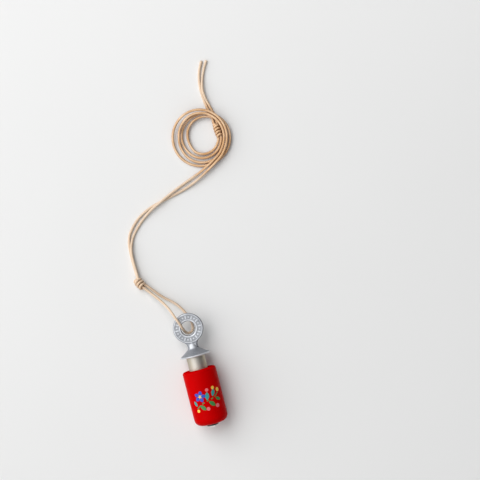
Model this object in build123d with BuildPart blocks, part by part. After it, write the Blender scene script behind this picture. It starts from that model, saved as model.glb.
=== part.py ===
"""Bird call: a cast eye key twists in the rosined bore of a wooden barrel, on a doubled leather cord.

The call lies on its side on a table. +Y runs along the barrel's axis towards the eye, +Z is up, and the
origin is on the table below the middle of the call's length. All sizes are in millimetres.
"""

import os
from math import cos, exp, pi, radians, sin, sqrt, tan

from build123d import *

# Barrel, turned from wood
barrel_radius = 8.0
barrel_length = 26.2
barrel_top_round = 1.1
barrel_end_round = 3.2
barrel_floor = 5.0
bore_mouth_chamfer = 0.4

# Key: eye ring, neck, domed flange and plain shank in one casting
ring_radius = 7.15
ring_hole_radius = 3.4
ring_thickness = 3.0
ring_edge_round = 0.55
neck_radius = 2.35
neck_web_fillet = 3.0
ring_to_neck_end = 9.2
ring_to_brim = 13.0
flange_radius = 7.2
brim_thickness = 0.6
dome_crown_radius = 3.0
dome_crown_drop = 0.9
dome_sag = 0.06
shank_radius = 4.4
shank_root_fillet = 0.4
shank_end_chamfer = 0.6
shank_showing = 6.8

# Raised marks in a sunk band on both faces of the eye ring
band_inner_radius = 4.25
band_outer_radius = 6.45
band_depth = 0.3
mark_count = 12
mark_length = 1.7
mark_width = 0.62
pellet_radius = 0.4

# Rosin on the shank, and the running clearances on both sides of it
rosin_thickness = 0.1
rosin_shank_clearance = 0.02
rosin_bore_clearance = 0.04
rosin_end_margin = 0.8

# Round-head end screw, whose tip stops the shank
screw_head_radius = 2.9
screw_head_height = 1.9
screw_head_side = 0.7
screw_shank_radius = 1.4
screw_length = 6.4
screw_tip_cone = 1.0
screw_hole_clearance = 0.03
screw_slot_width = 0.7
screw_slot_depth = 0.9
screw_slot_turn = 35.0
stop_gap = 0.3

# Leather cord
cord_diameter = 1.2
cord_arc_share = 0.45

# Coil of the doubled cord: both strands spiral inwards side by side, the first turn on top of the second.
# The turns are stacked on the far side, where they lie on the tails, and fan out on the table opposite.
coil_x = 28.3
coil_y = 105.5
coil_height = 1.45
coil_outer_radius = 15.14
coil_shift = 1.81
coil_start_angle = -60.0
coil_turns = 1.79
coil_spans = 14
coil_pitch = 2.4
coil_fan = 2.2
coil_fan_angle = 195.0
coil_entry_cut = 2.2
coil_entry_turns = 0.14
coil_splay = 0.6
coil_splay_rate = 1.5
coil_splay_angle = 60.0
coil_rise = 0.0615
coil_rise_angle = 50.0
layer_height = 1.7
layer_drop_start = 0.5
layer_drop_end = 0.72
strand_spacing = 1.35
strand_fan = 1.65
strand_fan_angle = 170.0
lead_in_length = 4.0

# Knots: short lumps of wraps round both strands
knot_pitch = 1.5
knot_valley_depth = 0.35
knot_grip = 1.2
knot_table_gap = 0.05
near_knot_wraps = 3
near_knot_radius = 2.3
near_knot_x = -17.3
near_knot_y = 46.3
near_knot_angle = 116.0
end_knot_wraps = 4
end_knot_radius = 1.8
end_knot_x = 36.6
end_knot_y = 107.5
end_knot_angle = 95.0

# Cord routes, chosen by hand
eye_loop_points = [
    (-16.7, 44.8, 2.3),
    (-12.9, 40.0, 2.6),
    (-9.3, 35.7, 5.2),
    (-6.4, 31.3, 8.8),
    (-4.6, 26.8, 10.9),
    (-2.9, 22.5, 11.1),
    (-1.7, 17.7, 4.9),
    (1.7, 18.2, 4.0),
    (2.3, 22.3, 3.4),
    (0.6, 26.9, 2.8),
    (-1.5, 30.7, 2.2),
    (-4.6, 34.2, 1.6),
    (-8.7, 37.5, 1.3),
    (-12.1, 41.7, 1.5),
    (-15.3, 45.5, 2.0),
]
outer_run_points = [
    (-17.9, 47.3, 1.7),
    (-17.9, 51.2, 0.75),
    (-18.2, 57.0, 0.65),
    (-18.1, 63.0, 0.65),
    (-17.5, 67.2, 0.65),
    (-16.1, 70.6, 0.65),
    (-13.2, 74.1, 0.65),
    (-9.2, 77.5, 0.65),
    (-3.2, 80.3, 0.65),
    (3.4, 81.8, 0.65),
    (9.0, 83.1, 0.65),
    (14.1, 84.3, 0.8),
    (19.9, 86.4, 1.4),
    (25.6, 89.3, 2.1),
]
inner_run_points = [
    (-17.6, 47.4, 3.0),
    (-17.4, 51.0, 2.0),
    (-17.8, 57.0, 2.0),
    (-17.5, 62.6, 1.9),
    (-16.0, 67.0, 0.9),
    (-14.1, 69.9, 0.65),
    (-11.0, 73.2, 0.65),
    (-7.5, 76.2, 0.9),
    (-3.3, 79.0, 1.8),
    (2.5, 81.7, 2.1),
    (7.5, 84.1, 1.5),
    (12.4, 86.2, 0.8),
    (18.4, 88.5, 1.2),
    (24.8, 90.8, 2.1),
]
left_tail_points = [
    (35.7, 109.2, 1.7),
    (35.6, 112.4, 0.8),
    (35.2, 115.8, 0.65),
    (34.3, 119.9, 0.65),
    (33.7, 124.1, 0.65),
    (33.5, 128.3, 0.65),
    (33.8, 132.3, 0.65),
    (34.7, 136.2, 0.65),
    (35.9, 139.2, 0.65),
    (37.3, 141.7, 0.65),
]
right_tail_points = [
    (37.2, 109.3, 1.7),
    (37.1, 112.6, 0.8),
    (36.7, 116.2, 0.65),
    (35.6, 120.3, 1.0),
    (34.6, 124.3, 1.6),
    (34.3, 128.2, 1.65),
    (35.1, 132.0, 1.2),
    (36.4, 135.5, 0.65),
    (37.9, 138.6, 0.65),
    (39.6, 141.4, 0.65),
]

# Places along the axis, worked out from the sizes above
overall_length = ring_radius + ring_to_brim + shank_showing + barrel_length + screw_head_height
eye_y = overall_length / 2 - ring_radius
brim_y = eye_y - ring_to_brim
barrel_top_y = brim_y - shank_showing
barrel_end_y = barrel_top_y - barrel_length
bore_floor_y = barrel_end_y + barrel_floor
screw_tip_y = barrel_end_y + screw_length
shank_end_y = max(screw_tip_y, bore_floor_y) + stop_gap

rosin_inner_radius = shank_radius + rosin_shank_clearance
rosin_outer_radius = rosin_inner_radius + rosin_thickness
bore_radius = rosin_outer_radius + rosin_bore_clearance
screw_hole_radius = screw_shank_radius + screw_hole_clearance

axis_plane = Plane.XY.offset(barrel_radius)
barrel_axis = Axis((0, 0, barrel_radius), (0, 1, 0))

coil_centre = Vector(coil_x, coil_y, coil_height)
near_knot_centre = Vector(near_knot_x, near_knot_y, near_knot_radius + knot_table_gap)
end_knot_centre = Vector(end_knot_x, end_knot_y, end_knot_radius + knot_table_gap)

os.makedirs("parts", exist_ok=True)


# Barrel
with BuildPart() as barrel:
    with BuildSketch(axis_plane) as barrel_half:
        with Locations((0, barrel_top_y)):
            Rectangle(barrel_radius, barrel_length, align=(Align.MIN, Align.MAX))
        fillet(barrel_half.vertices().group_by(Axis.X)[-1].sort_by(Axis.Y)[-1], barrel_top_round)
        fillet(barrel_half.vertices().group_by(Axis.Y)[0].sort_by(Axis.X)[-1], barrel_end_round)
    revolve(axis=barrel_axis)
    with BuildSketch(axis_plane) as bore_half:
        with Locations((0, barrel_top_y)):
            Rectangle(bore_radius, barrel_length - barrel_floor, align=(Align.MIN, Align.MAX))
        with Locations((0, bore_floor_y)):
            Rectangle(screw_hole_radius, barrel_floor, align=(Align.MIN, Align.MAX))
    revolve(axis=barrel_axis, mode=Mode.SUBTRACT)
    mouth_edge = barrel.edges().filter_by(GeomType.CIRCLE).group_by(Axis.Y)[-1].sort_by(SortBy.RADIUS)[0]
    chamfer(mouth_edge, bore_mouth_chamfer)
barrel.part.label = "barrel"
export_step(barrel.part, "parts/barrel.step")


# Key: the turned outline of neck, dome, flange and shank
neck_start_y = eye_y - ring_radius + ring_edge_round
neck_end_y = eye_y - ring_to_neck_end
crown_y = neck_end_y - dome_crown_drop
brim_top_y = brim_y + brim_thickness / 2
brim_under_y = brim_y - brim_thickness / 2
brim_edge_radius = flange_radius - brim_thickness / 2
dome_middle_radius = (dome_crown_radius + brim_edge_radius) / 2
dome_middle_y = (crown_y + brim_top_y) / 2
root_y = brim_under_y - shank_root_fillet
band_middle = (band_inner_radius + band_outer_radius) / 2

# Flat eye ring with a web that runs down into the neck
with BuildPart() as eye_plate:
    with BuildSketch(axis_plane) as eye_outline:
        with Locations((0, eye_y)):
            Circle(ring_radius)
        with Locations((0, neck_end_y)):
            Rectangle(2 * neck_radius, ring_to_neck_end, align=(Align.CENTER, Align.MIN))
        web_corners = eye_outline.vertices().group_by(Axis.Y)[-1]
        fillet(web_corners, neck_web_fillet)
        with Locations((0, eye_y)):
            Circle(ring_hole_radius, mode=Mode.SUBTRACT)
    extrude(amount=ring_thickness / 2, both=True)
    plate_faces = eye_plate.faces().filter_by(Axis.Z)
    fillet(plate_faces.edges().filter_by(GeomType.CIRCLE), ring_edge_round)

with BuildPart() as twist_key:
    with BuildSketch(axis_plane):
        with BuildLine():
            neck_side = Polyline(
                (0, neck_start_y), (ring_thickness / 2, neck_start_y), (neck_radius, neck_end_y)
            )
            neck_flare = TangentArc(neck_side @ 1, (dome_crown_radius, crown_y), tangent=neck_side % 1)
            dome = ThreePointArc(
                neck_flare @ 1,
                (dome_middle_radius - dome_sag, dome_middle_y - dome_sag),
                (brim_edge_radius, brim_top_y),
            )
            brim_edge = ThreePointArc(dome @ 1, (flange_radius, brim_y), (brim_edge_radius, brim_under_y))
            brim_under = Line(brim_edge @ 1, (shank_radius + shank_root_fillet, brim_under_y))
            RadiusArc(brim_under @ 1, (shank_radius, root_y), shank_root_fillet)
            Polyline(
                (shank_radius, root_y),
                (shank_radius, shank_end_y + shank_end_chamfer),
                (shank_radius - shank_end_chamfer, shank_end_y),
                (0, shank_end_y),
                (0, neck_start_y),
            )
        make_face()
    revolve(axis=barrel_axis)
    add(eye_plate.part)
    # Sunk band with raised bars and pellets, on both faces
    for face_side in (1, -1):
        face_plane = Plane(
            origin=(0, eye_y, barrel_radius + face_side * ring_thickness / 2),
            z_dir=(0, 0, face_side),
        )
        with BuildSketch(face_plane):
            Circle(band_outer_radius)
            Circle(band_inner_radius, mode=Mode.SUBTRACT)
            with PolarLocations(band_middle, mark_count):
                SlotOverall(mark_length, mark_width, mode=Mode.SUBTRACT)
            with PolarLocations(band_middle, mark_count, start_angle=180 / mark_count):
                Circle(pellet_radius, mode=Mode.SUBTRACT)
        extrude(amount=-band_depth, mode=Mode.SUBTRACT)
twist_key.part.label = "twist_key"
export_step(twist_key.part, "parts/twist_key.step")


# Rosin film
film_start_y = barrel_top_y - bore_mouth_chamfer - rosin_end_margin
film_end_y = shank_end_y + shank_end_chamfer + rosin_end_margin

with BuildPart() as rosin_film:
    with BuildSketch(axis_plane):
        with Locations((rosin_inner_radius, film_start_y)):
            Rectangle(rosin_thickness, film_start_y - film_end_y, align=(Align.MIN, Align.MAX))
    revolve(axis=barrel_axis)
rosin_film.part.label = "rosin_film"
export_step(rosin_film.part, "parts/rosin_film.step")


# End screw
head_top_y = barrel_end_y - screw_head_height
screw_tip_radius = screw_shank_radius / 2

with BuildPart() as end_screw:
    with BuildSketch(axis_plane):
        with BuildLine():
            head_side_y = barrel_end_y - screw_head_side
            head_arc = TangentArc((0, head_top_y), (screw_head_radius, head_side_y), tangent=(1, 0))
            Polyline(
                head_arc @ 0,
                (0, screw_tip_y),
                (screw_tip_radius, screw_tip_y),
                (screw_shank_radius, screw_tip_y - screw_tip_cone),
                (screw_shank_radius, barrel_end_y),
                (screw_head_radius, barrel_end_y),
                head_arc @ 1,
            )
        make_face()
    revolve(axis=barrel_axis)
    with Locations((0, head_top_y, barrel_radius)):
        Box(
            screw_slot_width,
            2 * screw_slot_depth,
            2 * screw_head_radius,
            rotation=(0, screw_slot_turn, 0),
            mode=Mode.SUBTRACT,
        )
end_screw.part.label = "end_screw"
export_step(end_screw.part, "parts/end_screw.step")


# Cord: stretches that aren't coiled
def corner_radii(points):
    """The largest arc for each corner of a route that its two runs leave room for."""
    radii = []
    for before, corner, after in zip(points, points[1:], points[2:]):
        run_in = Vector(corner) - Vector(before)
        run_out = Vector(after) - Vector(corner)
        half_turn = radians(run_in.get_angle(run_out) / 2)
        shorter_run = min(run_in.length, run_out.length)
        radii.append(cord_arc_share * shorter_run / tan(half_turn))
    return radii


def write_tube(name, wire):
    """Sweeps the cord's section along a wire, writes it, and compares its volume with section by length."""
    with BuildPart() as tube:
        with BuildSketch(Plane(origin=wire @ 0, z_dir=wire % 0)):
            Circle(cord_diameter / 2)
        sweep(path=wire)
    tube.part.label = name
    export_step(tube.part, f"parts/{name}.step")
    share = tube.part.volume / (pi * cord_diameter**2 / 4 * wire.length)
    print(f"{name}: length {wire.length:.1f} mm, volume {share:.4f} of section times length")


def write_stretch(name, points):
    """A tube along straight runs joined by tangent arcs."""
    radii = corner_radii(points)
    with BuildLine() as route:
        FilletPolyline(*points, radius=radii)
    print(name, "radii", [round(radius, 1) for radius in radii])
    write_tube(name, route.wire())


# Cord: the coil
def coil_point(angle, strand):
    """A point of the spiral at an angle in degrees. Strand 0 is the outer one, strand 1 the inner."""
    turns = (angle - coil_start_angle) / 360
    fan = cos(radians(angle - coil_fan_angle))
    radius = coil_outer_radius + coil_shift * fan - turns * (coil_pitch + coil_fan * fan)
    radius -= coil_entry_cut * exp(-((turns / coil_entry_turns) ** 2))
    radius += coil_splay * (1 - fan) / 2 * sin(radians(coil_splay_rate * (angle - coil_splay_angle)))
    strand_share = (1 + cos(radians(angle - strand_fan_angle))) / 2
    radius -= strand * (strand_spacing + strand_fan * strand_share**3)
    drop = min(max((turns - layer_drop_start) / (layer_drop_end - layer_drop_start), 0), 1)
    rise = coil_rise * radius * cos(radians(angle - coil_rise_angle))
    height = rise + layer_height * (1 - drop * drop * (3 - 2 * drop))
    return coil_centre + Vector(radius * cos(radians(angle)), radius * sin(radians(angle)), height)


def coil_direction(angle, strand):
    """The way the spiral runs at an angle."""
    small_step = 0.01
    return (coil_point(angle + small_step, strand) - coil_point(angle - small_step, strand)).normalized()


def add_biarc(start, start_direction, end, end_direction):
    """Two arcs, tangent to each other and to the given directions."""
    chord = end - start
    both = start_direction + end_direction
    spread = 2 * (1 - start_direction.dot(end_direction))
    reach = (sqrt(chord.dot(both) ** 2 + spread * chord.dot(chord)) - chord.dot(both)) / spread
    start_handle = start + start_direction * reach
    end_handle = end - end_direction * reach
    middle = (start_handle + end_handle) / 2
    TangentArc(start, middle, tangent=start_direction)
    TangentArc(middle, end, tangent=end_handle - start_handle)


def coil_wire(strand, knot_point, knot_direction):
    """Straight start, a biarc for each span of the spiral, and a biarc that leads into the end knot."""
    end_angle = coil_start_angle + 360 * coil_turns
    span_angle = 360 * coil_turns / coil_spans
    angles = [coil_start_angle + span_angle * i for i in range(coil_spans + 1)]
    with BuildLine() as route:
        first = coil_point(angles[0], strand)
        Line(first - coil_direction(angles[0], strand) * cord_diameter, first)
        for before, after in zip(angles, angles[1:]):
            add_biarc(
                coil_point(before, strand),
                coil_direction(before, strand),
                coil_point(after, strand),
                coil_direction(after, strand),
            )
        last = coil_point(end_angle, strand)
        add_biarc(last, coil_direction(end_angle, strand), knot_point, knot_direction)
        Line(knot_point, knot_point + knot_direction * cord_diameter)
    return route.wire()


def points_along(wire, count):
    return [wire @ (i / count) for i in range(count + 1)]


def least_gap(wire):
    """The least clear distance between turns of one tube, on points half a turn or more apart."""
    count = 600
    points = points_along(wire, count)
    apart = int(count * 0.5 / coil_turns)
    distances = [
        (points[i] - points[j]).length for i in range(count + 1) for j in range(i + apart, count + 1)
    ]
    return min(distances) - cord_diameter


def least_gap_between(first_wire, second_wire):
    count = 400
    second_points = points_along(second_wire, count)
    distances = [(p - q).length for p in points_along(first_wire, count) for q in second_points]
    return min(distances) - cord_diameter


end_knot_direction = Vector(cos(radians(end_knot_angle)), sin(radians(end_knot_angle)), 0)
end_knot_side = Vector(end_knot_direction.Y, -end_knot_direction.X, 0)
end_knot_half_length = end_knot_wraps * knot_pitch / 2
end_knot_entry = end_knot_centre - end_knot_direction * (end_knot_half_length - knot_grip + cord_diameter)
outer_entry = end_knot_entry + end_knot_side * strand_spacing / 2
inner_entry = end_knot_entry - end_knot_side * strand_spacing / 2
outer_coil_wire = coil_wire(0, outer_entry, end_knot_direction)
inner_coil_wire = coil_wire(1, inner_entry, end_knot_direction)
write_tube("cord_coil_outer", outer_coil_wire)
write_tube("cord_coil_inner", inner_coil_wire)
print("least gap of the outer strand's coil", round(least_gap(outer_coil_wire), 2))
print("least gap of the inner strand's coil", round(least_gap(inner_coil_wire), 2))
print("least gap between the coils", round(least_gap_between(outer_coil_wire, inner_coil_wire), 2))


def run_into_coil(points, wire):
    """A hand-chosen route with its last run in line with the coil's straight start."""
    return points + [wire @ 0 - (wire % 0) * lead_in_length, wire @ 0]


write_stretch("cord_eye_loop", eye_loop_points)
write_stretch("cord_run_outer", run_into_coil(outer_run_points, outer_coil_wire))
write_stretch("cord_run_inner", run_into_coil(inner_run_points, inner_coil_wire))
write_stretch("cord_tail_left", left_tail_points)
write_stretch("cord_tail_right", right_tail_points)


# Knots
def write_knot(name, centre, angle, wraps, radius):
    """A lump of wraps, turned about the line that the cord takes through it."""
    direction = Vector(cos(radians(angle)), sin(radians(angle)), 0)
    plane = Plane(origin=centre, x_dir=direction, z_dir=(0, 0, 1))
    half_length = wraps * knot_pitch / 2
    valley_radius = radius - knot_valley_depth
    with BuildPart() as knot:
        with BuildSketch(plane):
            with BuildLine():
                for wrap in range(wraps):
                    wrap_start = wrap * knot_pitch - half_length
                    ThreePointArc(
                        (wrap_start, valley_radius),
                        (wrap_start + knot_pitch / 2, radius),
                        (wrap_start + knot_pitch, valley_radius),
                    )
                Polyline(
                    (half_length, valley_radius),
                    (half_length, 0),
                    (-half_length, 0),
                    (-half_length, valley_radius),
                )
            make_face()
        revolve(axis=Axis(centre, direction))
    knot.part.label = name
    export_step(knot.part, f"parts/{name}.step")


write_knot("cord_near_knot", near_knot_centre, near_knot_angle, near_knot_wraps, near_knot_radius)
write_knot("cord_end_knot", end_knot_centre, end_knot_angle, end_knot_wraps, end_knot_radius)
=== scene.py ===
"""The looks of a friction bird call on its doubled leather cord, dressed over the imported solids.

Everything is in metres, in the frame of the solids. +Y runs along the barrel's axis towards the eye, +Z is
up, and the call lies on its side on a pale table.
"""

from math import cos, exp, pi, radians, sin

import bpy
from mathutils import Matrix, Vector


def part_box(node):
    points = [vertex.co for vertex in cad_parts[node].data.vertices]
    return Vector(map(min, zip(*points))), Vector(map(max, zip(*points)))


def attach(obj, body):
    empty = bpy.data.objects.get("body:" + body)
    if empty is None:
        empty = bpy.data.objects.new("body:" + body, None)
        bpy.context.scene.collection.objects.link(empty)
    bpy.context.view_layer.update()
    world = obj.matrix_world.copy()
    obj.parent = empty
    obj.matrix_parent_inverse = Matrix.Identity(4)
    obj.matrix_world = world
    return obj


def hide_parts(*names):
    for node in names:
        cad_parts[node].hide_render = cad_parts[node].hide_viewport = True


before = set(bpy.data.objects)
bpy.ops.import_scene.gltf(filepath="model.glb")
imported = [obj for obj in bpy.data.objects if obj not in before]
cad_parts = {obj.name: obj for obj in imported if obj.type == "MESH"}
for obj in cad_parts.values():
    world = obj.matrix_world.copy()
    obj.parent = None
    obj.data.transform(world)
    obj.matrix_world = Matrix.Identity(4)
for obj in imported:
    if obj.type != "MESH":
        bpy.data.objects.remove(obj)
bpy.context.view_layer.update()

MM = 0.001

# Sizes shared with the solids
barrel_low, barrel_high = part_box("barrel")
key_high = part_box("twist_key")[1]
BARREL_RADIUS = (barrel_high[0] - barrel_low[0]) / 2
BARREL_TOP = barrel_high[1]
BARREL_END = barrel_low[1]
AXIS_HEIGHT = BARREL_RADIUS
RING_RADIUS = 7.15 * MM
RING_CENTRE_Y = key_high[1] - RING_RADIUS
HOLE_RADIUS = 3.4 * MM
BAND_INNER_RADIUS = 4.25 * MM
BAND_OUTER_RADIUS = 6.45 * MM
FLANGE_UNDER_Y = RING_CENTRE_Y - 13.3 * MM

# How strong the dark patina in the casting's sunk band is, how strong the painted shade on its flange is,
# and how rough its shank
BAND_PATINA = 0.55
FLANGE_SHADE = 0.7
DARK_PEWTER = (0.23, 0.24, 0.27)
SHANK_ROUGHNESS = 0.52

# Cord
CORD_DIAMETER = 1.2 * MM
CORD_SIDES = 5
CORD_STEPS = 10

# Coil, in millimetres and degrees: the same spiral as in the solids
COIL_CENTRE = Vector((28.3, 105.5, 1.45))
COIL_OUTER_RADIUS = 15.14
COIL_SHIFT = 1.81
COIL_START_ANGLE = -60.0
COIL_TURNS = 1.79
COIL_PITCH = 2.4
COIL_FAN = 2.2
COIL_FAN_ANGLE = 195.0
COIL_ENTRY_CUT = 2.2
COIL_ENTRY_TURNS = 0.14
COIL_SPLAY = 0.6
COIL_SPLAY_RATE = 1.5
COIL_SPLAY_ANGLE = 60.0
COIL_RISE = 0.0615
COIL_RISE_ANGLE = 50.0
LAYER_HEIGHT = 1.7
LAYER_DROP_START = 0.5
LAYER_DROP_END = 0.72
STRAND_SPACING = 1.35
STRAND_FAN = 1.65
STRAND_FAN_ANGLE = 170.0
COIL_POINTS_PER_TURN = 20
LEAD_POINTS = 7

# Knots, in millimetres and degrees
NEAR_KNOT_CENTRE = Vector((-17.3, 46.3, 2.35))
NEAR_KNOT_ANGLE = 116.0
NEAR_KNOT_WRAPS = 3
NEAR_KNOT_RADIUS = 2.3
END_KNOT_CENTRE = Vector((36.6, 107.5, 1.85))
END_KNOT_ANGLE = 95.0
END_KNOT_WRAPS = 4
END_KNOT_RADIUS = 1.8
END_KNOT_ENTRY = 3.1
KNOT_PITCH = 1.5
KNOT_LEAN = 0.5

# Cord routes in millimetres, the points chosen for the solids
EYE_LOOP_POINTS = [
    (-16.7, 44.8, 2.3),
    (-12.9, 40.0, 2.6),
    (-9.3, 35.7, 5.2),
    (-6.4, 31.3, 8.8),
    (-4.6, 26.8, 10.9),
    (-2.9, 22.5, 11.1),
    (-1.7, 17.7, 4.9),
    (1.7, 18.2, 4.0),
    (2.3, 22.3, 3.4),
    (0.6, 26.9, 2.8),
    (-1.5, 30.7, 2.2),
    (-4.6, 34.2, 1.6),
    (-8.7, 37.5, 1.3),
    (-12.1, 41.7, 1.5),
    (-15.3, 45.5, 2.0),
]
OUTER_RUN_POINTS = [
    (-17.9, 47.3, 1.7),
    (-17.9, 51.2, 0.75),
    (-18.2, 57.0, 0.65),
    (-18.1, 63.0, 0.65),
    (-17.5, 67.2, 0.65),
    (-16.1, 70.6, 0.65),
    (-13.2, 74.1, 0.65),
    (-9.2, 77.5, 0.65),
    (-3.2, 80.3, 0.65),
    (3.4, 81.8, 0.65),
    (9.0, 83.1, 0.65),
    (14.1, 84.3, 0.8),
    (19.9, 86.4, 1.4),
    (25.6, 89.3, 2.1),
]
INNER_RUN_POINTS = [
    (-17.6, 47.4, 3.0),
    (-17.4, 51.0, 2.0),
    (-17.8, 57.0, 2.0),
    (-17.5, 62.6, 1.9),
    (-16.0, 67.0, 0.9),
    (-14.1, 69.9, 0.65),
    (-11.0, 73.2, 0.65),
    (-7.5, 76.2, 0.9),
    (-3.3, 79.0, 1.8),
    (2.5, 81.7, 2.1),
    (7.5, 84.1, 1.5),
    (12.4, 86.2, 0.8),
    (18.4, 88.5, 1.2),
    (24.8, 90.8, 2.1),
]
LEFT_TAIL_POINTS = [
    (35.7, 109.2, 1.7),
    (35.6, 112.4, 0.8),
    (35.2, 115.8, 0.65),
    (34.3, 119.9, 0.65),
    (33.7, 124.1, 0.65),
    (33.5, 128.3, 0.65),
    (33.8, 132.3, 0.65),
    (34.7, 136.2, 0.65),
    (35.9, 139.2, 0.65),
    (37.3, 141.7, 0.65),
]
RIGHT_TAIL_POINTS = [
    (37.2, 109.3, 1.7),
    (37.1, 112.6, 0.8),
    (36.7, 116.2, 0.65),
    (35.6, 120.3, 1.0),
    (34.6, 124.3, 1.6),
    (34.3, 128.2, 1.65),
    (35.1, 132.0, 1.2),
    (36.4, 135.5, 0.65),
    (37.9, 138.6, 0.65),
    (39.6, 141.4, 0.65),
]


# Materials
def new_material(name):
    material = bpy.data.materials.new(name)
    material.use_nodes = True
    nodes = material.node_tree.nodes
    return material, nodes, material.node_tree.links, nodes["Principled BSDF"]


def place_node(nodes):
    """Places in the frame, in metres: the objects all sit at the origin."""
    return nodes.new("ShaderNodeTexCoord").outputs["Object"]


def noise(nodes, links, place, scale, detail=3.0, stretch=(1, 1, 1)):
    """A noise between 0 and 1, with its place stretched along the axes."""
    mapping = nodes.new("ShaderNodeMapping")
    mapping.inputs["Scale"].default_value = stretch
    links.new(place, mapping.inputs["Vector"])
    texture = nodes.new("ShaderNodeTexNoise")
    texture.inputs["Scale"].default_value = scale
    texture.inputs["Detail"].default_value = detail
    links.new(mapping.outputs["Vector"], texture.inputs["Vector"])
    return texture.outputs["Fac"]


def ramp(nodes, links, value, stops):
    """Turns a value into a colour through stops of (place, colour)."""
    node = nodes.new("ShaderNodeValToRGB")
    elements = node.color_ramp.elements
    while len(elements) < len(stops):
        elements.new(0.5)
    for element, (place, colour) in zip(elements, stops):
        element.position = place
        element.color = (*colour, 1)
    links.new(value, node.inputs["Fac"])
    return node.outputs["Color"]


def spread(nodes, links, value, low_in, high_in, low_out, high_out):
    """Maps a value from one span to another, smoothly and within its ends."""
    node = nodes.new("ShaderNodeMapRange")
    node.interpolation_type = "SMOOTHSTEP"
    names = ("From Min", "From Max", "To Min", "To Max")
    for name, number in zip(names, (low_in, high_in, low_out, high_out)):
        node.inputs[name].default_value = number
    links.new(value, node.inputs["Value"])
    return node.outputs["Result"]


def calculate(nodes, links, operation, first, second):
    node = nodes.new("ShaderNodeMath")
    node.operation = operation
    for socket, value in zip(node.inputs, (first, second)):
        if isinstance(value, (int, float)):
            socket.default_value = value
        else:
            links.new(value, socket)
    return node.outputs["Value"]


def mix_colour(nodes, links, share, first, second):
    node = nodes.new("ShaderNodeMix")
    node.data_type = "RGBA"
    links.new(share, node.inputs["Factor"])
    for socket, value in ((node.inputs[6], first), (node.inputs[7], second)):
        if isinstance(value, tuple):
            socket.default_value = (*value, 1)
        else:
            links.new(value, socket)
    return node.outputs[2]


def bump(nodes, links, shader, height, distance, strength=1.0):
    node = nodes.new("ShaderNodeBump")
    node.inputs["Strength"].default_value = strength
    node.inputs["Distance"].default_value = distance
    links.new(height, node.inputs["Height"])
    links.new(node.outputs["Normal"], shader.inputs["Normal"])


def split_place(nodes, links, place):
    node = nodes.new("ShaderNodeSeparateXYZ")
    links.new(place, node.inputs["Vector"])
    return node.outputs["X"], node.outputs["Y"], node.outputs["Z"]


def distance_from(nodes, links, place, centre):
    """How far a place is from a point given in millimetres."""
    node = nodes.new("ShaderNodeVectorMath")
    node.operation = "DISTANCE"
    links.new(place, node.inputs[0])
    node.inputs[1].default_value = centre * MM
    return node.outputs["Value"]


def lacquer_material():
    """Deep red lacquer over turned wood, with very little shine and none at the top end."""
    material, nodes, links, shader = new_material("red_lacquer")
    place = place_node(nodes)
    clouds = noise(nodes, links, place, 90, stretch=(1, 0.35, 1))
    links.new(ramp(nodes, links, clouds, [(0.3, (0.48, 0.0003, 0.0006)), (0.7, (0.54, 0.0004, 0.0009))]),
              shader.inputs["Base Color"])
    handling = noise(nodes, links, place, 260)
    links.new(spread(nodes, links, handling, 0.3, 0.75, 0.22, 0.34), shader.inputs["Roughness"])
    y = split_place(nodes, links, place)[1]
    shine = spread(nodes, links, y, BARREL_TOP - 0.9 * MM, BARREL_TOP - 0.2 * MM, 0.012, 0)
    links.new(shine, shader.inputs["Specular IOR Level"])
    rings = noise(nodes, links, place, 420, detail=2, stretch=(0.15, 3, 0.15))
    bump(nodes, links, shader, rings, 0.02 * MM, 0.35)
    return material


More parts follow.
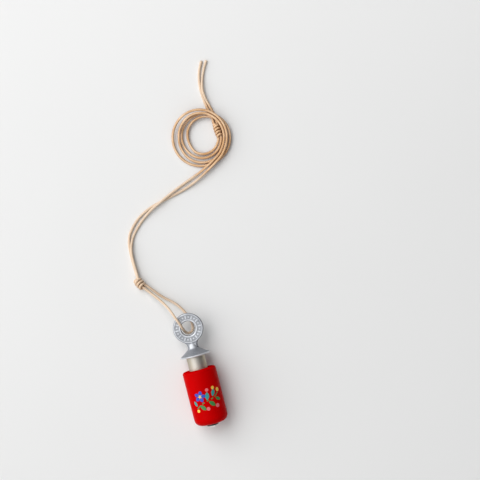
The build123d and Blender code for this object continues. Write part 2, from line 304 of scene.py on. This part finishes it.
def pewter_material():
    """Cast pewter: grained round the eye, with patina in the sunk band and painted shade on the flange,
    the eye's edges and the neck's sides; smoother on the shank, with rosin at the mouth and a painted tan
    reflection down its sides.
    """
    material, nodes, links, shader = new_material("pewter")
    shader.inputs["Metallic"].default_value = 1.0
    place = place_node(nodes)
    x, y, z = split_place(nodes, links, place)
    polished = spread(nodes, links, y, FLANGE_UNDER_Y - 0.5 * MM, FLANGE_UNDER_Y, 1, 0)
    grain = noise(nodes, links, place, 1500, detail=4)
    clouds = noise(nodes, links, place, 260)
    cast = ramp(nodes, links, clouds, [(0.3, (0.60, 0.62, 0.65)), (0.7, (0.80, 0.82, 0.85))])
    # Patina in the sunk band; painted shade on the eye's edges, down the flange and on the neck's sides
    from_eye = calculate(nodes, links, "SUBTRACT", y, RING_CENTRE_Y)
    squares = calculate(
        nodes, links, "ADD",
        calculate(nodes, links, "MULTIPLY", x, x),
        calculate(nodes, links, "MULTIPLY", from_eye, from_eye),
    )
    radius = calculate(nodes, links, "POWER", squares, 0.5)
    outside_hole = spread(nodes, links, radius, BAND_INNER_RADIUS - 0.2 * MM, BAND_INNER_RADIUS, 0, 1)
    inside_rim = spread(nodes, links, radius, BAND_OUTER_RADIUS, BAND_OUTER_RADIUS + 0.2 * MM, 1, 0)
    from_middle = calculate(nodes, links, "SUBTRACT", z, AXIS_HEIGHT)
    off_middle = calculate(nodes, links, "ABSOLUTE", from_middle, 0)
    sunk = spread(nodes, links, off_middle, 1.24 * MM, 1.4 * MM, 1, 0)
    on_band = calculate(nodes, links, "MULTIPLY", outside_hole, inside_rim)
    band = calculate(nodes, links, "MULTIPLY", on_band, sunk)
    # Painted shade: the eye's outer rim and the edge of its hole darkened as if in shadow
    shaded_edges = calculate(
        nodes, links, "ADD",
        spread(nodes, links, radius, RING_RADIUS - 0.5 * MM, RING_RADIUS - 0.1 * MM, 0, 0.8),
        spread(nodes, links, radius, HOLE_RADIUS + 0.05 * MM, HOLE_RADIUS + 0.4 * MM, 0.8, 0),
    )
    on_eye = spread(nodes, links, from_eye, -RING_RADIUS - 0.5 * MM, -RING_RADIUS, 0, 1)
    shaded_edges = calculate(nodes, links, "MULTIPLY", shaded_edges, on_eye)
    # Painted shade: the flange's dome darkened below the neck and short of the brim, standing in for the
    # dark reflection of the shade under the ring
    flange_shade = calculate(
        nodes, links, "MULTIPLY",
        spread(nodes, links, from_eye, -10.2 * MM, -9.0 * MM, FLANGE_SHADE, 0),
        spread(nodes, links, from_eye, -12.75 * MM, -12.55 * MM, 0, 1),
    )
    aside = calculate(nodes, links, "ABSOLUTE", x, 0)
    # Painted shade on the neck, strongest on its left and right sides
    neck_side_shade = calculate(
        nodes, links, "MULTIPLY",
        spread(nodes, links, from_eye, -RING_RADIUS - 0.5 * MM, -RING_RADIUS, 1, 0),
        spread(nodes, links, aside, 1.0 * MM, 2.3 * MM, 0.1, 0.9),
    )
    dark_band = calculate(nodes, links, "MULTIPLY", band, BAND_PATINA)
    patina_and_shade = calculate(nodes, links, "MAXIMUM", dark_band, shaded_edges)
    patina_and_shade = calculate(nodes, links, "MAXIMUM", patina_and_shade, flange_shade)
    above_flange = spread(nodes, links, from_eye, -10.4 * MM, -9.4 * MM, 0, 1)
    shaded_neck = calculate(nodes, links, "MULTIPLY", neck_side_shade, above_flange)
    patina_and_shade = calculate(nodes, links, "MAXIMUM", patina_and_shade, shaded_neck)
    cast = mix_colour(nodes, links, patina_and_shade, cast, DARK_PEWTER)
    # Rosin near the barrel's mouth, and a painted tan reflection down the shank's left and right sides,
    # both broken into patches
    at_mouth = spread(nodes, links, y, BARREL_TOP, BARREL_TOP + 2.0 * MM, 0.5, 0)
    side_reflection = spread(nodes, links, aside, 1.2 * MM, 4.2 * MM, 0.1, 0.9)
    patchiness = spread(nodes, links, noise(nodes, links, place, 500, stretch=(1, 0.4, 1)), 0.3, 0.7, 0.4, 1)
    mouth_and_sides = calculate(nodes, links, "MAXIMUM", at_mouth, side_reflection)
    residue_and_reflection = calculate(nodes, links, "MULTIPLY", mouth_and_sides, patchiness)
    shank = mix_colour(nodes, links, residue_and_reflection, (0.57, 0.55, 0.50), (0.46, 0.39, 0.26))
    links.new(mix_colour(nodes, links, polished, cast, shank), shader.inputs["Base Color"])
    unpolished = calculate(nodes, links, "SUBTRACT", 1.0, polished)
    cast_rough = spread(nodes, links, grain, 0.3, 0.7, 0.08, 0.24)
    rough = calculate(nodes, links, "MULTIPLY", cast_rough, unpolished)
    links.new(calculate(nodes, links, "ADD", rough, SHANK_ROUGHNESS), shader.inputs["Roughness"])
    bump(nodes, links, shader, calculate(nodes, links, "MULTIPLY", grain, unpolished), 0.05 * MM, 0.5)
    return material


def nickel_material():
    """Nickel plate, bright on the crown of the head, with painted shade darkening it where it meets the
    barrel.
    """
    material, nodes, links, shader = new_material("nickel")
    shader.inputs["Metallic"].default_value = 1.0
    place = place_node(nodes)
    y = split_place(nodes, links, place)[1]
    marks = noise(nodes, links, place, 1800, detail=4)
    plate = ramp(nodes, links, marks, [(0.3, (0.84, 0.82, 0.79)), (0.7, (0.95, 0.93, 0.90))])
    # Painted shade: nearly black next to the barrel, standing in for the shadowed junction and the
    # barrel's dark reflection
    junction_shade = spread(nodes, links, y, BARREL_END - 1.1 * MM, BARREL_END - 0.9 * MM, 0, 0.97)
    links.new(mix_colour(nodes, links, junction_shade, plate, (0.03, 0.02, 0.02)), shader.inputs["Base Color"])
    links.new(spread(nodes, links, marks, 0.3, 0.7, 0.12, 0.26), shader.inputs["Roughness"])
    bump(nodes, links, shader, marks, 0.01 * MM, 0.3)
    return material


def rosin_material():
    """A thin brown film, matt where it has been rubbed."""
    material, nodes, links, shader = new_material("rosin")
    place = place_node(nodes)
    clouds = noise(nodes, links, place, 600)
    links.new(ramp(nodes, links, clouds, [(0.3, (0.32, 0.17, 0.05)), (0.7, (0.55, 0.34, 0.13))]),
              shader.inputs["Base Color"])
    links.new(spread(nodes, links, clouds, 0.3, 0.7, 0.3, 0.65), shader.inputs["Roughness"])
    bump(nodes, links, shader, clouds, 0.03 * MM, 0.5)
    return material


def leather_material():
    """Natural round leather cord: pale where it runs free, browner in the coil and knots."""
    material, nodes, links, shader = new_material("leather")
    place = place_node(nodes)
    patches = noise(nodes, links, place, 120)
    pale = ramp(nodes, links, patches, [(0.25, (0.64, 0.475, 0.33)), (0.75, (0.76, 0.60, 0.455))])
    brown = ramp(nodes, links, patches, [(0.3, (0.56, 0.31, 0.13)), (0.7, (0.84, 0.60, 0.39))])
    from_coil = distance_from(nodes, links, place, COIL_CENTRE)
    in_coil = spread(nodes, links, from_coil, 15 * MM, 19 * MM, 1, 0)
    from_knot = distance_from(nodes, links, place, NEAR_KNOT_CENTRE)
    knotted = spread(nodes, links, from_knot, 2.2 * MM, 4 * MM, 0.35, 0)
    tan = mix_colour(nodes, links, calculate(nodes, links, "MAXIMUM", in_coil, knotted), pale, brown)
    # Painted shade on the sides of the coil's strands, where they lie against each other
    facing = nodes.new("ShaderNodeNewGeometry").outputs["Normal"]
    facing_up = split_place(nodes, links, facing)[2]
    sides = spread(nodes, links, facing_up, 0.3, 0.9, 0.9, 0)
    side_shade = calculate(nodes, links, "MULTIPLY", sides, in_coil)
    tan = mix_colour(nodes, links, side_shade, tan, (0.36, 0.15, 0.045))
    fibres = noise(nodes, links, place, 2600, detail=5)
    streaks = spread(nodes, links, fibres, 0.5, 0.75, 0, 0.35)
    colour = mix_colour(nodes, links, streaks, tan, (0.82, 0.67, 0.52))
    pores = spread(nodes, links, noise(nodes, links, place, 4200), 0.28, 0.42, 0.35, 0)
    links.new(mix_colour(nodes, links, pores, colour, (0.34, 0.19, 0.10)), shader.inputs["Base Color"])
    links.new(spread(nodes, links, fibres, 0.3, 0.7, 0.5, 0.7), shader.inputs["Roughness"])
    shader.inputs["Specular IOR Level"].default_value = 0.3
    bump(nodes, links, shader, fibres, 0.06 * MM, 0.6)
    return material


LEATHER = leather_material()


def dress_node(name, material):
    """Gives a carried-over solid its material."""
    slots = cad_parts[name].data.materials
    slots.clear()
    slots.append(material)


dress_node("barrel", lacquer_material())
dress_node("twist_key", pewter_material())
dress_node("end_screw", nickel_material())
dress_node("rosin_film", rosin_material())


# Printed sprig on the barrel, in millimetres round the barrel and along it from the sprig's middle
SPRIG_AROUND = 0.7
SPRIG_ALONG = -13.4
SPRIG_LIFT = 0.02
INK_DEPTH = 0.06
STEM_POINTS = [(-5.6, -3.4), (-4.0, -2.4), (-2.0, -1.3), (0.2, -0.6), (2.4, -0.2), (4.4, 0.6), (6.2, 2.0)]
STEM_WIDTH = 0.5
# Middle, length, width and angle of each leaf
GREEN_LEAVES = [
    (-2.6, -3.4, 3.6, 1.8, -48),
    (2.0, -2.4, 3.8, 1.9, -46),
    (5.6, -0.9, 3.0, 1.5, -28),
]
TEAL_LEAVES = [
    (0.4, 1.5, 3.8, 1.9, 78),
    (3.6, 2.4, 3.6, 1.7, 66),
    (-6.0, -1.0, 2.8, 1.4, 112),
]
BLOSSOM = (-3.0, 1.9)
PETALS = 5
PETAL_REACH = 1.6
PETAL_SIZE = (2.4, 1.75)
# Middle and radius of each berry
CORAL_BERRIES = [(-0.4, -4.4, 0.85), (4.4, -3.9, 0.95), (0.9, 4.3, 0.8)]
YELLOW_BERRIES = [(-3.0, 1.9, 0.95), (6.5, 3.2, 0.95), (4.0, 4.6, 0.8), (-5.4, -4.5, 0.75)]


def on_barrel(around, along):
    """A place of the print on the barrel's surface."""
    radius = BARREL_RADIUS + SPRIG_LIFT * MM
    angle = (SPRIG_AROUND + around) * MM / BARREL_RADIUS
    return radius * sin(angle), (SPRIG_ALONG + along) * MM, AXIS_HEIGHT + radius * cos(angle)


def ink_material(name, colour):
    """A flat printed ink, worn through to the red in specks."""
    material, nodes, links, shader = new_material(name)
    worn = noise(nodes, links, place_node(nodes), 1400)
    share = spread(nodes, links, worn, 0.6, 0.78, 0, 0.5)
    links.new(mix_colour(nodes, links, share, colour, (0.43, 0.001, 0.0015)), shader.inputs["Base Color"])
    links.new(spread(nodes, links, worn, 0.3, 0.7, 0.26, 0.4), shader.inputs["Roughness"])
    shader.inputs["Specular IOR Level"].default_value = 0.25
    return material


def print_piece(name, colour, grids):
    """One ink's shapes. Each grid is a list of rows of places, joined into quads."""
    places = []
    faces = []
    for rows in grids:
        width = len(rows[0])
        for r in range(len(rows) - 1):
            for c in range(width - 1):
                corner = len(places) + r * width + c
                faces.append((corner, corner + 1, corner + width + 1, corner + width))
        places.extend(on_barrel(*place) for row in rows for place in row)
    mesh = bpy.data.meshes.new(name)
    mesh.from_pydata(places, [], faces)
    mesh.materials.append(ink_material(name, colour))
    piece = bpy.data.objects.new(name, mesh)
    bpy.context.collection.objects.link(piece)
    body = piece.modifiers.new("ink_depth", "SOLIDIFY")
    body.thickness = INK_DEPTH * MM
    body.offset = 0
    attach(piece, "barrel")


def leaf_grid(around, along, length, width, angle):
    """A pointed leaf about its middle."""
    steps = 10
    lanes = 4
    ahead = Vector((cos(radians(angle)), sin(radians(angle))))
    aside = Vector((-ahead.y, ahead.x))
    rows = []
    for i in range(steps + 1):
        share = 0.02 + 0.96 * i / steps
        half = width / 2 * sin(pi * share) ** 0.8
        spine = Vector((around, along)) + ahead * length * (share - 0.5)
        rows.append([tuple(spine + aside * half * (2 * j / lanes - 1)) for j in range(lanes + 1)])
    return rows


def berry_grid(around, along, radius):
    """A round berry with a tiny open middle."""
    sides = 20
    angles = [2 * pi * i / sides for i in range(sides + 1)]
    reaches = [radius * share for share in (0.04, 0.5, 1)]
    return [[(around + reach * cos(a), along + reach * sin(a)) for reach in reaches] for a in angles]


def stem_grid():
    """A thin ribbon along the stem's points."""
    rows = []
    last = len(STEM_POINTS) - 1
    for i, place in enumerate(STEM_POINTS):
        ahead = Vector(STEM_POINTS[min(i + 1, last)]) - Vector(STEM_POINTS[max(i - 1, 0)])
        aside = Vector((-ahead.y, ahead.x)).normalized() * STEM_WIDTH / 2
        rows.append([tuple(Vector(place) - aside), tuple(Vector(place) + aside)])
    return rows


def petal_grid(turn):
    reach = Vector((cos(radians(turn)), sin(radians(turn)))) * PETAL_REACH
    return leaf_grid(BLOSSOM[0] + reach.x, BLOSSOM[1] + reach.y, *PETAL_SIZE, turn)


print_piece("print_green", (0.05, 0.22, 0.06), [stem_grid()] + [leaf_grid(*leaf) for leaf in GREEN_LEAVES])
print_piece("print_teal", (0.04, 0.30, 0.28), [leaf_grid(*leaf) for leaf in TEAL_LEAVES])
print_piece("print_blue", (0.03, 0.07, 0.45), [petal_grid(360 / PETALS * i) for i in range(PETALS)])
print_piece("print_coral", (0.72, 0.15, 0.17), [berry_grid(*berry) for berry in CORAL_BERRIES])
print_piece("print_yellow", (0.85, 0.55, 0.08), [berry_grid(*berry) for berry in YELLOW_BERRIES])


# Cord
def coil_point(angle, strand):
    """A point of the spiral, in millimetres. Strand 0 is the outer one, strand 1 the inner."""
    turns = (angle - COIL_START_ANGLE) / 360
    fan = cos(radians(angle - COIL_FAN_ANGLE))
    radius = COIL_OUTER_RADIUS + COIL_SHIFT * fan - turns * (COIL_PITCH + COIL_FAN * fan)
    radius -= COIL_ENTRY_CUT * exp(-((turns / COIL_ENTRY_TURNS) ** 2))
    radius += COIL_SPLAY * (1 - fan) / 2 * sin(radians(COIL_SPLAY_RATE * (angle - COIL_SPLAY_ANGLE)))
    strand_share = (1 + cos(radians(angle - STRAND_FAN_ANGLE))) / 2
    radius -= strand * (STRAND_SPACING + STRAND_FAN * strand_share**3)
    drop = min(max((turns - LAYER_DROP_START) / (LAYER_DROP_END - LAYER_DROP_START), 0), 1)
    rise = COIL_RISE * radius * cos(radians(angle - COIL_RISE_ANGLE))
    height = rise + LAYER_HEIGHT * (1 - drop * drop * (3 - 2 * drop))
    return COIL_CENTRE + Vector((radius * cos(radians(angle)), radius * sin(radians(angle)), height))


def coil_points(strand):
    """The spiral's turns, and the lead that winds on from them into the end knot."""
    steps = round(COIL_TURNS * COIL_POINTS_PER_TURN)
    end_angle = COIL_START_ANGLE + 360 * COIL_TURNS
    angles = [COIL_START_ANGLE + 360 * COIL_TURNS * i / steps for i in range(steps + 1)]
    points = [coil_point(angle, strand) for angle in angles]
    along = Vector((cos(radians(END_KNOT_ANGLE)), sin(radians(END_KNOT_ANGLE)), 0))
    side = Vector((along.y, -along.x, 0)) * STRAND_SPACING * (0.5 - strand)
    entry = END_KNOT_CENTRE - along * END_KNOT_ENTRY + side
    start = points[-1] - COIL_CENTRE
    finish = entry - COIL_CENTRE
    start_radius = start.xy.length
    finish_radius = finish.xy.length
    turn = start.xy.angle_signed(finish.xy)
    for i in range(1, LEAD_POINTS + 1):
        share = i / LEAD_POINTS
        angle = radians(end_angle) + abs(turn) * share
        radius = start_radius + (finish_radius - start_radius) * share
        height = start.z + (finish.z - start.z) * share
        points.append(COIL_CENTRE + Vector((radius * cos(angle), radius * sin(angle), height)))
    points.append(entry + along * END_KNOT_ENTRY)
    return points


def cord_curve(name, points):
    """A smooth round cord through a route given in millimetres."""
    curve = bpy.data.curves.new(name, "CURVE")
    curve.dimensions = "3D"
    curve.bevel_depth = CORD_DIAMETER / 2
    curve.bevel_resolution = CORD_SIDES
    curve.resolution_u = CORD_STEPS
    curve.use_fill_caps = True
    spline = curve.splines.new("NURBS")
    spline.points.add(len(points) - 1)
    for control, point in zip(spline.points, points):
        control.co = (*(Vector(point) * MM), 1)
    spline.order_u = 3
    spline.use_endpoint_u = True
    curve.materials.append(LEATHER)
    piece = bpy.data.objects.new(name, curve)
    bpy.context.collection.objects.link(piece)
    return piece


def place_cord(name, points, *nodes):
    piece = cord_curve(name, points)
    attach(piece, "key")
    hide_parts(*nodes)
    return piece


def knot_points(centre, angle, wraps, radius):
    """Leaning wraps wound along the cord's line, fullest in the middle, with both ends tucked inside."""
    turn = Matrix.Rotation(radians(angle), 3, "Z")
    wound_radius = radius - CORD_DIAMETER / MM / 2
    per_wrap = 12
    tuck = 4
    count = wraps * per_wrap
    points = []
    for i in range(-tuck, count + tuck + 1):
        share = min(max(i, 0), count) / count
        tucked = max(-i, i - count, 0) / tuck
        swell = 1.03 - 0.7 * (share - 0.5) ** 2
        reach = wound_radius * swell * (1 - 0.75 * tucked)
        around = 2 * pi * i / per_wrap
        along = (share - 0.5) * (wraps - 0.2) * KNOT_PITCH + KNOT_LEAN * reach * sin(around)
        points.append(centre + turn @ Vector((along, reach * cos(around), reach * sin(around))))
    return points


near_knot = place_cord(
    "near_knot",
    knot_points(NEAR_KNOT_CENTRE, NEAR_KNOT_ANGLE, NEAR_KNOT_WRAPS, NEAR_KNOT_RADIUS),
    "cord_near_knot",
)
end_knot = place_cord(
    "end_knot",
    knot_points(END_KNOT_CENTRE, END_KNOT_ANGLE, END_KNOT_WRAPS, END_KNOT_RADIUS),
    "cord_end_knot",
)
eye_loop = place_cord("eye_loop", EYE_LOOP_POINTS, "cord_eye_loop")
outer_points = OUTER_RUN_POINTS + coil_points(0)
inner_points = INNER_RUN_POINTS + coil_points(1)
outer_strand = place_cord("outer_strand", outer_points, "cord_run_outer", "cord_coil_outer")
inner_strand = place_cord("inner_strand", inner_points, "cord_run_inner", "cord_coil_inner")
left_tail = place_cord("left_tail", LEFT_TAIL_POINTS, "cord_tail_left")
right_tail = place_cord("right_tail", RIGHT_TAIL_POINTS, "cord_tail_right")


# Table, light and camera
VIEW_TURN = -14.4
VIEW_CENTRE = Vector((33.93, 54.51, 0)) * MM
CAMERA_HEIGHT = 600 * MM
FRAME_WIDTH = 228.93 * MM
SENSOR = 36.0
DARK_WALL = (0.78, 0.63)
ROOM_STRENGTH = 0.72
TABLE_HALF = 3.0


def floor_material():
    material, nodes, links, shader = new_material("table")
    place = place_node(nodes)
    clouds = noise(nodes, links, place, 3)
    links.new(ramp(nodes, links, clouds, [(0.3, (0.765, 0.765, 0.76)), (0.7, (0.795, 0.795, 0.79))]),
              shader.inputs["Base Color"])
    shader.inputs["Roughness"].default_value = 0.85
    shader.inputs["Specular IOR Level"].default_value = 0.15
    return material


def make_floor():
    mesh = bpy.data.meshes.new("table")
    sides = ((-1, -1), (1, -1), (1, 1), (-1, 1))
    corners = [(TABLE_HALF * right, TABLE_HALF * away, 0) for right, away in sides]
    mesh.from_pydata(corners, [], [(0, 1, 2, 3)])
    mesh.materials.append(floor_material())
    floor = bpy.data.objects.new("table", mesh)
    bpy.context.collection.objects.link(floor)


def area_light(name, right, up, height, size, power):
    """A soft lamp placed by the photo's right and up, aimed at the middle of the view."""
    turn = Matrix.Rotation(radians(VIEW_TURN), 3, "Z")
    lamp = bpy.data.lights.new(name, "AREA")
    lamp.size = size
    lamp.energy = power
    light = bpy.data.objects.new(name, lamp)
    light.location = VIEW_CENTRE + turn @ Vector((right, up, height))
    light.rotation_euler = (VIEW_CENTRE - light.location).to_track_quat("-Z", "Y").to_euler()
    bpy.context.collection.objects.link(light)


def make_world():
    """A room with a bright wall on one side, a grey ceiling and a dark wall opposite."""
    world = bpy.data.worlds.new("studio")
    world.use_nodes = True
    nodes = world.node_tree.nodes
    links = world.node_tree.links
    right, away, upwards = split_place(nodes, links, nodes.new("ShaderNodeTexCoord").outputs["Generated"])
    towards_dark = calculate(
        nodes, links, "ADD",
        calculate(nodes, links, "MULTIPLY", right, DARK_WALL[0]),
        calculate(nodes, links, "MULTIPLY", away, DARK_WALL[1]),
    )
    wall = spread(nodes, links, towards_dark, -0.9, 0.9, 0, 1)
    walls = [(0.1, (1.0, 1.0, 1.0)), (0.5, (0.60, 0.61, 0.62)), (0.9, (0.12, 0.12, 0.125))]
    colour = ramp(nodes, links, wall, walls)
    background = nodes["Background"]
    links.new(colour, background.inputs["Color"])
    background.inputs["Strength"].default_value = ROOM_STRENGTH
    bpy.context.scene.world = world


def make_camera():
    camera_data = bpy.data.cameras.new("camera")
    camera_data.sensor_width = SENSOR
    camera_data.lens = SENSOR * CAMERA_HEIGHT / FRAME_WIDTH
    camera = bpy.data.objects.new("camera", camera_data)
    camera.location = VIEW_CENTRE + Vector((0, 0, CAMERA_HEIGHT))
    camera.rotation_euler = (0, 0, radians(VIEW_TURN))
    bpy.context.collection.objects.link(camera)
    bpy.context.scene.camera = camera


make_floor()
make_world()
area_light("window_light", -0.85, 0.25, 0.75, 1.7, 12.0)
area_light("top_light", -0.4, 0.5, 0.85, 0.8, 5.0)
make_camera()
bpy.context.scene.view_settings.view_transform = "Standard"
